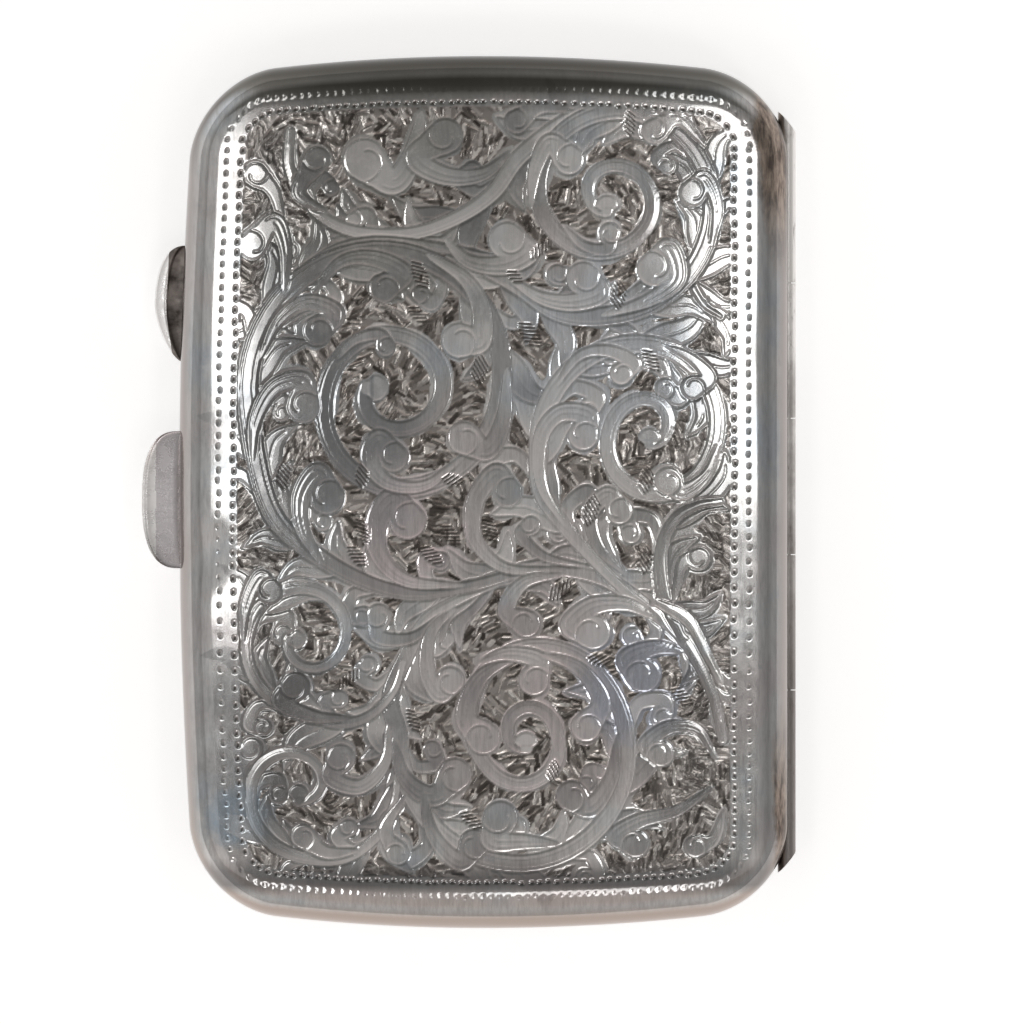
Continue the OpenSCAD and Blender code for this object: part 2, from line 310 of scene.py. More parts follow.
# Scrolls: (middle, first quarter, turn, radii a quarter turn apart, lead-in line, half widths).
# A turn of 1 runs anticlockwise. Quarters count from the right side, anticlockwise.
SCROLLS = [
    ((4.5, -25.5), 2, 1, [14.5, 14.5, 11.5, 10, 6.5, 6, 4, 3.5, 2.5, 2],
     [(2.5, -9), (-3, -11.5), (-6, -13.5), (-8, -17), (-9.8, -21.5)], (1.0, 0.6)),
    ((-18.5, -15.5), 3, -1, [8.5, 7, 6, 4.5, 3.5, 2.5],
     [(-8.5, -18), (-9.5, -21), (-12, -23.5), (-15, -24.3)], (0.7, 0.5)),
    ((-19.5, -30.5), 3, -1, [8.5, 5.5, 3.5, 3, 2.5],
     [(-9, -29), (-9.5, -33), (-11.5, -36.5), (-15, -38.6)], (0.7, 0.5)),
    ((17.5, 6.5), 2, -1, [12.5, 10, 8, 7.5, 5, 4, 2.5, 2],
     [(15.5, -11), (12, -7.5), (8.5, -3.5), (6, 0.5)], (1.05, 0.6)),
    ((-10, 11), 2, -1, [16, 15.5, 13, 11.5, 7.5, 6.5, 6.5, 5, 3],
     [(4.5, -8.2), (-2, -10), (-9, -10.5), (-16.5, -7.3), (-22.5, -1.5)], (1.15, 0.75)),
    ((13, 31), 3, 1, [13.5, 12, 10, 8, 6.5, 5.5, 4, 2.5, 2],
     [(-2, 24.5), (3.5, 21.5), (8, 18.8)], (1.05, 0.6)),
]

# Stems that join the scrolls: their lines and half widths
STEMS = [
    ([(-2.5, -10.3), (2.5, -8.9), (7, -7.9), (12.5, -9), (17, -12), (21, -15.5), (24, -21), (25.2, -26)],
     1.0, 0.5),
    ([(21, -15.5), (19, -11), (18.7, -6.5), (20, -3), (22.5, -1.4), (25, -1)], 0.8, 0.4),
    ([(18, -11.5), (21.5, -13.5), (23.5, -17), (25, -20)], 0.7, 0.4),
    ([(20, 40.6), (14, 40.9), (9.5, 39.5), (4, 35.5), (1, 31.5), (-3, 28.8), (-8, 27.2), (-14, 27.6),
      (-18, 30), (-20.3, 34), (-20.3, 38)], 0.9, 0.5),
    ([(2, 24.5), (-5, 25.8), (-12, 26.4), (-17, 24.8), (-21.5, 20.5), (-24.5, 15.5)], 0.6, 0.4),
    ([(21, 23.5), (23, 20), (25, 18.5)], 0.5, 0.3),
]

# Curled leaves: middle and radius of the round end, then the line of the stem that leads into it
CURLS = [
    ((-12.5, 35), 2.4, [(-6.5, 40), (-7.5, 35.5), (-9.5, 32.7)]),
    ((-17.5, 35), 1.5, [(-16.5, 29.5), (-19.5, 31.5)]),
    ((-4, 37.5), 2.0, [(3, 36), (0, 33.5), (-4, 33.3), (-7, 35.2)]),
    ((3.5, 39), 1.4, [(9, 40.2), (6, 40.5)]),
    ((-24, 33.5), 1.4, [(-21, 27), (-22, 31.5)]),
    ((-24.3, 26), 1.7, [(-21, 21), (-20.8, 25.5), (-22, 28.5)]),
    ((-10.5, 21.5), 1.7, [(-18, 21), (-15, 24.2), (-11.5, 24.6), (-8.4, 23)]),
    ((-17.5, 17), 1.7, [(-23.5, 14), (-21.5, 18), (-18.5, 20), (-15.6, 18.8)]),
    ((-2.5, 16), 2.0, [(-6, 25), (-2, 22.5), (-0.3, 19.5), (-0.4, 16)]),
    ((-19, 9), 1.9, [(-24.3, 3), (-24, 7.5), (-22, 11), (-19, 11.6)]),
    ((-16.5, -0.5), 2.0, [(-17, -7.5), (-19, -4), (-19.2, -0.5), (-17.5, 1.9)]),
    ((-8, -3), 2.1, [(-2, -9.8), (-8, -9.3), (-11, -6.5), (-11.2, -3), (-9.5, -0.8)]),
    ((-9.5, 3.7), 1.7, [(-2, 4), (-6, 0.8), (-10, 1), (-12, 3.5), (-11, 5.6)]),
    ((-2, 5.7), 1.9, [(2.5, 13), (2.2, 8), (0.5, 4.5)]),
    ((-10.3, 15.3), 1.1, [(-15.5, 14), (-13.5, 16), (-11, 16.6)]),
    ((2.5, 0), 1.7, [(9, -8), (2.5, -8), (-0.8, -5), (-0.9, -1), (1.3, 2)]),
    ((5, -3.5), 1.1, [(11, -7.8), (6.5, -6.8), (4, -4.5)]),
    ((10.5, 6), 1.7, [(9, -4), (6.2, 0.5), (6, 5.5), (8, 8.3), (11, 8)]),
    ((14.3, -2), 1.5, [(15.5, -9), (12.3, -6), (11.3, -2.5), (13, -0.3)]),
    ((14.5, 12.5), 1.3, [(7.5, 11), (10, 14.3), (13, 14.9), (15.8, 13.6)]),
    ((22, 11), 1.4, [(19, 15.5), (22, 14), (23.7, 12)]),
    ((19.5, 1.2), 1.6, [(24.8, 5), (23.5, 1.8), (21, 0)]),
    ((2.5, 26.5), 2.1, [(-4, 26.5), (-1.5, 24.3), (2, 23.9), (4.6, 25.3)]),
    ((10.5, 22.5), 1.9, [(2.5, 22.7), (6, 20.5), (9.5, 20), (12.3, 21)]),
    ((18, 23.5), 2.0, [(12.5, 18.6), (17.5, 20.3), (20.3, 22.5), (19.5, 25.5)]),
    ((9, 35), 1.7, [(5, 30), (5.5, 34), (7, 36.8)]),
    ((22, 31.5), 1.6, [(24, 26), (24.6, 30), (23.3, 33)]),
    ((18, 38), 1.5, [(23.3, 36.5), (20.5, 39.3)]),
    ((13.3, 27.3), 1.2, [(8.5, 28), (10.5, 26), (13, 25.6)]),
    ((-11, -13), 1.4, [(-4, -12.6), (-7.5, -15.3), (-11, -15.2)]),
    ((-19.8, -20.5), 1.7, [(-14, -23.8), (-18, -23.6), (-21.3, -22)]),
    ((-22.5, -10.5), 1.5, [(-25.3, -16), (-25, -12), (-23.5, -9)]),
    ((-15, -28), 1.6, [(-10, -24.5), (-10.4, -28.5), (-13, -31), (-16, -30)]),
    ((-19, -36.2), 1.4, [(-13, -37.7), (-16.5, -37.9)]),
    ((-24.4, -27), 1.3, [(-25.3, -33), (-25.6, -29.5)]),
    ((-3.5, -19.8), 1.6, [(-3, -12.2), (-5.5, -14.8), (-6, -18.5), (-4.6, -21.2)]),
    ((-3, -29.7), 1.9, [(-9.5, -26), (-8.3, -30), (-5.3, -32)]),
    ((-9, -38), 1.3, [(-8.3, -32), (-10.3, -35.5)]),
    ((-1, -37), 1.7, [(-6.5, -31.5), (-5.3, -36), (-2.5, -38.9)]),
    ((0, -25.8), 1.9, [(3.5, -17.3), (-0.3, -19.5), (-1.9, -23.5)]),
    ((5.3, -19.8), 1.7, [(-0.5, -18), (2.5, -17), (5.8, -17.7)]),
    ((10.8, -24.7), 1.7, [(6, -17), (10, -18.5), (12.4, -22)]),
    ((9.3, -32), 1.8, [(14.2, -25.5), (13.5, -30), (11.3, -33.2)]),
    ((1.8, -34.3), 2.0, [(8, -37), (4.5, -36.8), (1, -36.6)]),
    ((4.5, -13.8), 1.6, [(8.5, -8.6), (4.3, -9.5), (2.4, -12.4)]),
    ((11.5, -14.7), 2.0, [(18, -13.2), (15, -11.8), (11.5, -12), (9.3, -14)]),
    ((16.8, -19.2), 2.0, [(21, -16.8), (18, -16.4), (15.2, -17.6)]),
    ((18.7, -27.5), 1.5, [(24.5, -28), (22.5, -25), (19.5, -24.8), (17.2, -26.6)]),
    ((16, -37), 1.6, [(24.2, -31), (20.5, -33.5), (16.5, -34.6), (14, -36.2)]),
    ((22.3, -37.3), 1.3, [(25.3, -33.5), (24.3, -36.5)]),
    ((22.7, -7), 1.3, [(20, -11.5), (21, -7.5)]),
]

# Rows of shade cuts: middle, direction of the row, length of a cut, how many
SHADES = [
    ((-6.7, 22.9), -75, 1.3, 7), ((-6.9, 18.7), -60, 1.2, 5), ((-0.4, 12.9), 60, 1.6, 6),
    ((15.4, 38.8), 80, 1.0, 6), ((6, 25.6), 35, 1.0, 6), ((3.3, 22.7), -60, 1.0, 4),
    ((4.9, 16.6), -65, 1.6, 7), ((14.2, 20.8), 65, 1.5, 6), ((17.6, 13.9), -70, 1.2, 6),
    ((17.1, 1.3), 65, 1.2, 6), ((11.3, -1.9), 60, 1.4, 7), ((0.7, -4), -75, 1.2, 6),
    ((17, -7.1), 65, 1.3, 6), ((8.1, -10.3), 20, 1.5, 6), ((-21, 1.8), 70, 1.4, 6),
    ((-12.8, -4), -80, 1.1, 6), ((-13.3, -6.7), -60, 1.1, 6), ((-3.5, -4.5), -60, 1.3, 6),
    ((-5.5, -6.6), -50, 1.2, 6), ((-12.8, 1.7), 70, 1.2, 5), ((-3.2, 1.3), -25, 1.1, 5),
    ((-14.2, -19.6), 30, 1.0, 6), ((-7.4, -24), -75, 1.0, 6), ((20.8, -21.5), -50, 1.2, 6),
    ((12.2, -17.6), -30, 1.2, 5), ((7.3, -29.3), 60, 1.0, 5), ((-1.3, -34.5), -50, 1.1, 6),
]


def curl_turn(line, middle):
    """1 if the line runs anticlockwise round the middle, and -1 if it runs clockwise."""
    a, b = line[-2] - middle, line[-1] - middle
    return 1 if a[0] * b[1] - a[1] * b[0] > 0 else -1


def scroll_line(middle, quarter, turn, radii, lead, halves):
    """The middle line of a scroll's stem, its half widths, and where the spiral starts."""
    r = curve_through(radii, 14)[:, 0]
    turns = np.linspace(0, len(radii) - 1, len(r))
    half = np.interp(turns, [0, len(radii) - 1], halves)
    a = np.radians(90) * (quarter + turn * turns)
    spiral = np.asarray(middle) + ((r - half) * np.stack([np.cos(a), np.sin(a)])).T
    into = curve_through([*lead, spiral[0], spiral[4]], 10)[: 10 * len(lead)]
    width = np.concatenate([np.linspace(0.45, 1, len(into)) * half[0], half])
    return np.concatenate([into, spiral]), width


def scroll(middle, quarter, turn, radii, lead, halves):
    """A spiral stem that winds in to a round end, with fine lines along it."""
    line, width = scroll_line(middle, quarter, turn, radii, lead, halves)
    end_r = 1.5 * width[-1] + 0.3
    tip = line[-1] + (np.asarray(middle) - line[-1]) * 0.35
    flat_leaf(line, width, fade=0.02, swells=len(radii), line=0.15)
    flat_leaf(np.array([line[-1], tip]), np.array([width[-1], end_r]), fade=0.001, line=0.15)
    groove(beside(line, -turn * width * 0.6)[8:-10], 0.11, 0.035)
    groove(beside(line, turn * width * 0.45)[30:-24], 0.09, 0.025)


def curl(middle, r, lead, number, stem=0.72):
    """A comma-shaped leaf: a broad stem that swells into a round end and curls round it."""
    middle = np.asarray(middle, float)
    line = curve_through([*lead, middle], 8)
    s = np.linspace(0, 1, len(line))
    width = 0.12 + (stem * r - 0.12) * s**0.55
    width[-4:] = [(stem + 0.03) * r, 0.8 * r, 0.88 * r, 0.93 * r]
    flat_leaf(line, width, phase=0.13 * number, line=0.14)
    turn = curl_turn(np.asarray(line[:-6]), middle)
    back = line[-7] - middle
    a0 = math.atan2(back[1], back[0])
    # the leaf's inner edge runs on into the round end as a hook
    a = a0 - turn * np.radians(np.linspace(-45, 130, 16))
    reach = np.linspace(0.95, 0.4, 16) * r
    groove(middle + (reach * np.stack([np.cos(a), np.sin(a)])).T, 0.13, 0.05, 0.6)
    if r > 1.45:
        groove(beside(line, -turn * width * 0.5)[3:-6], 0.09, 0.03)
        groove(beside(line, turn * width * 0.1)[7:-8], 0.08, 0.025)


def flame(line, size, number):
    """A pointed leaf with a vein: it swells from its root and runs out to a tip."""
    s = np.linspace(0, 1, len(line))
    width = 0.03 + size * np.sin(np.pi * s**0.75) ** 0.8
    flat_leaf(line, width, phase=0.2 * number, line=0.13)
    groove(line[2:-4], 0.09, 0.035)


def lobes(line, width, sides, pitch, size, share):
    """Small leaves that part from the first share of a stem at even steps and bend away."""
    travelled = np.concatenate([[0], np.cumsum(np.hypot(*np.diff(line, axis=0).T))])
    for number, s in enumerate(np.arange(1.5, travelled[-1] * share, pitch)):
        k = min(int(np.searchsorted(travelled, s)), len(line) - 3)
        ahead = line[k + 2] - line[k]
        ahead /= max(math.hypot(*ahead), 1e-6)
        side = sides[number % len(sides)]
        out = side * np.array([-ahead[1], ahead[0]])
        r = size * rng.uniform(0.85, 1.2)
        at = line[k] + out * (width[k] - 0.2)
        if number % 3 == 2:
            lead = [line[k], at + ahead * 1.5 * r, at + ahead * 2.6 * r + out * 0.7 * r,
                    at + ahead * 2.5 * r + out * 2.2 * r]
            curl(at + ahead * 1.4 * r + out * 1.9 * r, 0.75 * r, lead, number, 0.85)
        else:
            points = [line[k], at + ahead * 1.4 * r + out * 0.2 * r,
                      at + ahead * 2.9 * r + out * 1.1 * r, at + ahead * 3.6 * r + out * 2.9 * r]
            flame(curve_through(points, 7), 0.8 * r, number)


def round_rect(half_u, half_v, r, pitch):
    """Evenly spaced points along a rounded rectangle, given how far apart they are by place."""
    arcs = []
    for quarter, (su, sv) in enumerate([(1, 1), (-1, 1), (-1, -1), (1, -1)]):
        a = np.radians(90 * quarter + np.linspace(0, 90, 25))
        arcs.append(np.stack([su * (half_u - r) + r * np.cos(a), sv * (half_v - r) + r * np.sin(a)], -1))
    line = np.concatenate([*arcs, arcs[0][:1]])
    fine = np.concatenate([
        np.linspace(p, q, max(2, round(math.hypot(*(q - p)) / 0.05)), endpoint=False)
        for p, q in zip(line[:-1], line[1:])
    ])
    travelled, next_at, found = 0.0, 0.0, []
    for p, q in zip(fine[:-1], fine[1:]):
        if travelled >= next_at:
            found.append((p, q))
            next_at = travelled + pitch(p)
        travelled += math.hypot(*(q - p))
    return found


# Dotted border rows: half width, half length and corner radius, then how far out from its middle
# line a dent slopes, and its depth
BORDERS = [(25.75, 41.1, 3.6, 0.21, 0.1), (27.3, 42.6, 4.6, 0.16, 0.06)]
DOT_LENGTH = 0.2


def dot_row(half_u, half_v, r, half, depth):
    """A row of small dents that a punch left along a border line."""

    def pitch(p):
        """How far apart the dots are: closest at both ends, and widest apart at y = -17."""
        at_end = abs(p[1]) > 0.97 * half_v
        return 0.9 if at_end else 1.2 + 0.6 * math.exp(-(((p[1] + 17) / 9) ** 2))

    for p, q in round_rect(half_u, half_v, r, pitch):
        at = np.array(lid_view(*p))
        ahead = np.array(lid_view(*q)) - at
        ahead /= max(math.hypot(*ahead), 1e-9)
        wobble = rng.normal(0, 0.05, 2)
        run = ahead * DOT_LENGTH * 0.5
        win, d, _ = plate.stroke([at + wobble - run, at + wobble + run], [0.03, 0.03], 0.25)
        dent = np.clip(1 - np.maximum(d, 0) / half, 0, 1) * depth
        np.maximum(plate.cut[win], dent, out=plate.cut[win])


PANEL_U, PANEL_V, PANEL_R = 25.3, 40.6, 3.2
PANEL_FADE = 2.2
# Strokes that are tried on the ground, and patches in which they run one way
GROUND_STROKES, GROUND_PATCHES = 26000, 900


def panel_area():
    """The cells inside the dotted border."""
    gx, gy = plate.x[:, None], plate.y[None, :]
    u = BEND_R * np.arcsin(np.clip(gx / FACE_R, -1, 1))
    v = gy / (1 - END_BOW / HALF_L * (u / HALF_W) ** 2)
    u = np.where(u < 0, u / (1 - FRONT_BOW / HALF_W * (v / HALF_L) ** 2), u)
    qu, qv = np.abs(u) - (PANEL_U - PANEL_R), np.abs(v) - (PANEL_V - PANEL_R)
    return np.hypot(np.maximum(qu, 0), np.maximum(qv, 0)) < PANEL_R


def engrave_ground(panel):
    """Roughens the pockets between the leaves with short graver strokes in changing directions."""
    open_ground = panel & (plate.away(plate.leaf, 20) > 0.04 + 0.75 * plate.cloud(2.2) ** 2)
    plate.ground[open_ground] = 1
    corners = [-PLATE_X, -PLATE_Y], [PLATE_X, PLATE_Y]
    spots = rng.uniform(*corners, (GROUND_STROKES, 2))
    patches = rng.uniform(*corners, (GROUND_PATCHES, 2))
    angles = rng.uniform(0, np.pi, len(patches))
    for x, y in spots:
        i = min(int((x + PLATE_X) / CELL), len(plate.x) - 1)
        j = min(int((y + PLATE_Y) / CELL), len(plate.y) - 1)
        if not open_ground[i, j]:
            continue
        near = np.argmin((patches[:, 0] - x) ** 2 + (patches[:, 1] - y) ** 2)
        a = angles[near] + rng.normal(0, 0.2)
        run = rng.uniform(0.2, 0.7) * np.array([math.cos(a), math.sin(a)])
        half, deep = rng.uniform(0.1, 0.26), 0.012 + 0.07 * rng.random() ** 2
        win, d, _ = plate.stroke([(x, y) - run, (x, y) + run], [0.01, 0.01], half)
        v = np.clip(1 - d / half, 0, 1) * deep
        part, allowed = plate.cut[win], open_ground[win] & (d < half)
        deeper = allowed & (v > part)
        part[deeper] = v[deeper]
        plate.tint[win][allowed] = rng.random()


def engrave():
    """Draws on the plate: side leaves, stems, scrolls, curls, ground, shade cuts and borders."""
    panel = panel_area()
    stems = []
    for points, half, end_half in STEMS:
        line = curve_through(points, 10)
        along = np.linspace(0, 1, len(line))
        stems.append((line, np.interp(along, [0, 0.2, 1], [half * 0.6, half, end_half])))
    for line, width in stems:
        lobes(line, width, (1, -1), 3.6, 1.3, 0.85)
    for spec in SCROLLS:
        line, width = scroll_line(*spec)
        lobes(line, width, (spec[2], -spec[2]), 2.6, 1.45, 0.55)
    for line, width in stems:
        flat_leaf(line, width, fade=0.03, swells=3, line=0.17)
        groove(beside(line, width * 0.5)[4:-4], 0.1, 0.03)
    for spec in SCROLLS:
        scroll(*spec)
    for number, spec in enumerate(CURLS):
        curl(*spec, number)
    plate.panel[:] = np.clip(plate.away(~panel, 40) / PANEL_FADE, 0, 1)
    plate.leaf &= panel
    plate.cut[~panel] = 0
    engrave_ground(panel)
    for spec in SHADES:
        hatch(*spec)
    for spec in BORDERS:
        dot_row(*spec)


def look_up(field, x, y):
    """Reads a field of the plate between its cells."""
    fx = np.clip((x + PLATE_X) / CELL, 0, len(plate.x) - 1.001)
    fy = np.clip((y + PLATE_Y) / CELL, 0, len(plate.y) - 1.001)
    i, j = fx.astype(int), fy.astype(int)
    a, b = fx - i, fy - j
    return (
        field[i, j] * (1 - a) * (1 - b)
        + field[i + 1, j] * a * (1 - b)
        + field[i, j + 1] * (1 - a) * b
        + field[i + 1, j + 1] * a * b
    )


# ---------------------------------------------------------------- shells


def skin_grid(side, skin, face_n, roll_n, relief=None):
    """One skin of a shell as a grid of points, from rim to rim both ways.

    Grid lines follow the roll of the edge, and squares turn into the round corners.
    relief(x, y, u, v) is a height above the face, by place from above and on the outline.
    """
    nu, nv = face_n[0] + 2 * roll_n, face_n[1] + 2 * roll_n
    i, j = np.meshgrid(np.arange(nu + 1), np.arange(nv + 1), indexing="ij")
    ei, ej = np.minimum(i, nu - i), np.minimum(j, nv - j)
    su, sv = np.where(i * 2 < nu, -1.0, 1.0), np.where(j * 2 < nv, -1.0, 1.0)

    def nominal(e, half, faces):
        in_face = EDGE_ROLL + (e - roll_n) * 2 * (half - EDGE_ROLL) / faces
        return np.where(e < roll_n, roll_inset(np.pi / 2 * e / roll_n, 0), in_face)

    du, dv = nominal(ei, HALF_W, face_n[0]), nominal(ej, HALF_L, face_n[1])
    a, b = 1 - du / CORNER_R, 1 - dv / CORNER_R
    corner = (a > 0) & (b > 0)
    small = 1e-9
    low, high = np.pi / 4 * b / np.maximum(a, small), np.pi / 4 * (2 - a / np.maximum(b, small))
    theta = np.where(a >= b, low, high)
    ring = np.minimum(ei, ej)
    by_side = ei <= ej
    straight = np.where(by_side, HALF_W, HALF_W - du)
    rim_u = np.where(corner, HALF_W - CORNER_R * (1 - np.cos(theta)), straight)
    # The channel for the hinge tube: how far up the roll the wall starts on the hinge side
    t0 = np.zeros_like(rim_u)
    for _ in range(4):
        gap = rim_u - roll_inset(t0, skin) * np.where(corner, np.cos(theta), 1) - HALF_W + AXIS_INSET
        top = np.sqrt(np.maximum(CHANNEL_R**2 - gap**2, 0))
        t0 = np.arcsin(np.clip((top - RIM_Z) / (SHELL_H - skin - RIM_Z), 0, 0.9))
    hinge_side = (su > 0) & (corner | by_side)
    t0 = np.where(hinge_side, t0, 0)
    t = np.where(ring < roll_n, t0 + (np.pi / 2 - t0) * ring / roll_n, np.pi / 2)
    d = np.where(ring < roll_n, roll_inset(t, skin), np.where(by_side, du, dv))
    z = roll_z(t, skin)
    corner_d = np.where(ring < roll_n, d, CORNER_R * (1 - np.maximum(a, b)))

    def outwards(half, on_roll, step, turn):
        """How far out a point is one way: round a corner, on the roll or on the face."""
        flat = np.where(on_roll & (ring < roll_n), half - d, half - step)
        return np.where(corner, half - CORNER_R + (CORNER_R - corner_d) * turn, flat)

    u = su * outwards(HALF_W, by_side, du, np.cos(theta))
    v = sv * outwards(HALF_L, ~by_side, dv, np.sin(theta))
    z = side * z
    points = place(u, v, z)
    if relief is None:
        return points
    return place(u, v, z + relief(points[..., 0] - SHIFT_X, points[..., 1], u, v))


def grid_boundary(nu, nv, start=0):
    """Indices round the edge of a grid of (nu + 1) by (nv + 1) points, anticlockwise."""

    def at(i, j):
        return start + np.asarray(i) * (nv + 1) + np.asarray(j)

    return np.concatenate([
        at(np.arange(nu), 0), at(nu, np.arange(nv)),
        at(np.arange(nu, 0, -1), nv), at(0, np.arange(nv, 0, -1)),
    ])


def shell_piece(name, side, step, roll_n, coarser, relief=None):
    """A closed shell: an outer skin with faces of about this step, and an inner skin.

    roll_n outer faces climb the roll of the edge, and coarser outer faces meet one inner face.
    """
    outer_n = face_counts(step, coarser)
    inner_n = [n // coarser for n in outer_n]
    outer = skin_grid(side, 0, outer_n, roll_n, relief)
    inner = skin_grid(side, WALL, inner_n, roll_n // coarser)
    (ou, ov), (iu, iv) = [(g.shape[0] - 1, g.shape[1] - 1) for g in (outer, inner)]
    start = outer.shape[0] * outer.shape[1]
    outside = grid_quads(ou + 1, ov + 1)
    inside = grid_quads(iu + 1, iv + 1, start)[:, ::-1]
    fine, coarse = grid_boundary(ou, ov), grid_boundary(iu, iv, start)
    rim = []
    for k in range(len(coarse)):
        a, b = coarse[k], coarse[(k + 1) % len(coarse)]
        along = [fine[(k * coarser + m) % len(fine)] for m in range(coarser + 1)]
        half = coarser // 2
        rim += [(along[m + 1], along[m], a) for m in range(half)]
        rim.append((a, b, along[half]))
        rim += [(along[m + 1], along[m], b) for m in range(half, coarser)]
    quads, tris = np.concatenate([outside, inside]), np.array(rim)
    if side < 0:
        quads, tris = quads[:, ::-1], tris[:, ::-1]
    points = np.concatenate([outer.reshape(-1, 3), inner.reshape(-1, 3)])
    obj = make_piece(name, points, quads, tris)
    slots = np.zeros(len(obj.data.polygons), np.int32)
    slots[len(outside) : len(outside) + len(inside)] = 1
    obj.data.polygons.foreach_set("material_index", slots)
    return obj, outer


def face_counts(step, coarser):
    """How many faces of about this size cross the flat part of a shell, each way."""
    spans = 2 * (HALF_W - EDGE_ROLL), 2 * (HALF_L - EDGE_ROLL)
    return [round(s / step / coarser / 2) * coarser * 2 for s in spans]


# Old dents in the lid: place along and across, size and depth
DENTS = [(-30, -7.5, 3, 3.2, 0.35), (-30, 6, 3, 9, 0.1), (29.5, 14, 3, 8, 0.08), (5, -44, 9, 3, 0.12),
         (-14, 44, 8, 3, 0.1)]


def dent_relief(u, v):
    """How much lower the lid is in its old dents."""
    return -sum(
        deep * np.exp(-(((u - at_u) / su) ** 2) - ((v - at_v) / sv) ** 2)
        for at_u, at_v, su, sv, deep in DENTS
    )


# How far apart the points of the outer skins are
LID_STEP = 0.13
BASE_STEP = 0.8


def lid_relief(x, y, u, v):
    """The lid's dents, its slight waves and its engraving."""
    return dent_relief(u, v) + look_up(waves, x, y) - look_up(plate.cut, x, y)


engrave()
waves = 0.03 * plate.cloud(7.0) + 0.012 * plate.cloud(3.1)
lid, lid_points = shell_piece("lid_engraved", 1, LID_STEP, 28, 4, lid_relief)
base, _ = shell_piece("base_back", -1, BASE_STEP, 20, 2)

seen_x, seen_y = lid_points[..., 0].ravel() - SHIFT_X, lid_points[..., 1].ravel()
spare = len(lid.data.vertices) - len(seen_x)
height = lid_points[..., 2].ravel() - LIFT + BEND_R * (1 - np.cos(seen_x / BEND_R))
# The depth that the materials read as a full cut, and the height below which the rim takes its own tone
FULL_CUT, RIM_TOP = 0.1, 3.9
painted = {"rim": np.clip(RIM_TOP - height, 0, 1)}
for name, field in (("cut", plate.cut / FULL_CUT), ("ground", plate.ground), ("tint", plate.tint),
                    ("panel", plate.panel)):
    painted[name] = look_up(field, seen_x, seen_y)
for name, values in painted.items():
    paint(lid, name, np.concatenate([values, np.zeros(spare)]))

# ---------------------------------------------------------------- bezel, thumb pieces, strap

BEZEL_H, BEZEL_T = 1.0, 0.4
BEZEL_CLEAR, BEZEL_LEAN = 0.25, 0.3
BEZEL_FOOT, BEZEL_STEP = math.radians(30), math.radians(15)


def bezel_ring(inset):
    """The bezel's line round three sides, inset from the outline by this much."""
    spans = [(1, 1, 60, 90), (-1, 1, 90, 180), (-1, -1, 180, 270), (1, -1, 270, 300)]
    made = []
    for su, sv, a0, a1 in spans:
        a = np.radians(np.linspace(a0, a1, 20))
        r = CORNER_R - inset
        middle = su * (HALF_W - CORNER_R), sv * (HALF_L - CORNER_R)
        arc = np.stack([middle[0] + r * np.cos(a), middle[1] + r * np.sin(a)], -1)
        if made:
            made.append(np.linspace(made[-1][-1], arc[0], 60)[1:-1])
        made.append(arc)
    return np.concatenate(made)


def bezel_piece():
    """The thin strip inside the base's rim, with a rounded top edge."""
    lean = WALL + BEZEL_CLEAR + BEZEL_LEAN
    top = BEZEL_H + 0.08
    section = [
        (roll_inset(BEZEL_FOOT, WALL), -roll_z(BEZEL_FOOT, WALL)),
        (roll_inset(BEZEL_STEP, WALL), -roll_z(BEZEL_STEP, WALL)),
        (WALL, -RIM_Z - 0.01), (WALL + BEZEL_CLEAR, -RIM_Z),
        (lean - 0.02, BEZEL_H - 0.12), (lean + 0.06, top - 0.05), (lean + BEZEL_T / 2, top),
        (lean + BEZEL_T - 0.06, top - 0.05), (lean + BEZEL_T, BEZEL_H - 0.12),
        (WALL + BEZEL_CLEAR + BEZEL_T, -RIM_Z),
        (roll_inset(BEZEL_FOOT, WALL) + BEZEL_T, -roll_z(BEZEL_FOOT, WALL)),
    ]
    rings = [bezel_ring(inset) for inset, _ in section]
    loft = np.stack(
        [place(r[:, 0], r[:, 1], np.full(len(r), z)) for r, (_, z) in zip(rings, section)], 1
    )
    return tube_piece("bezel_rim", loft)


def at_opening(out, along, up):
    """A point by the opening edge: out from the wall, along the case, up the lid's wall."""
    c, s = math.cos(EDGE_A), math.sin(EDGE_A)
    x0 = -BEND_R * math.sin(EDGE_A) + SHIFT_X
    z0 = BEND_R * (math.cos(EDGE_A) - 1) + LIFT
    return np.stack([x0 - c * out - s * up, along, z0 - s * out + c * up], -1)


def thumb_piece(name, length, out, centre, top, under, power, low_power):
    """A scooped thumb piece: rounded in plan, hollow on top, with a thick rounded lip.

    top and under are (share of the way out, height) from the wall to the lip.
    """
    n = 96
    across = curve_through(top, 10), curve_through(under, 10)
    section = np.concatenate([across[0], across[1][::-1]])
    rings = []
    for k in range(n + 1):
        w = math.sin(math.pi * (k / n - 0.5))
        p = low_power if w < 0 else power
        reach = max((1 - abs(w) ** p) ** (1 / p), 0.02)
        y = centre + length / 2 * w
        wall = -FRONT_BOW * (y / HALF_L) ** 2
        end = 1 - 0.3 * abs(w) ** 6
        o = wall - 0.5 + (0.5 + out * reach) * section[:, 0]
        rings.append(at_opening(o, np.full(len(o), y), section[:, 1] * end))
    return tube_piece(name, rings)


STRAP_W, STRAP_T, STRAP_HALF = 8.0, 0.6, 27.0
STRAP_Z = -(SHELL_H - WALL) + 0.25


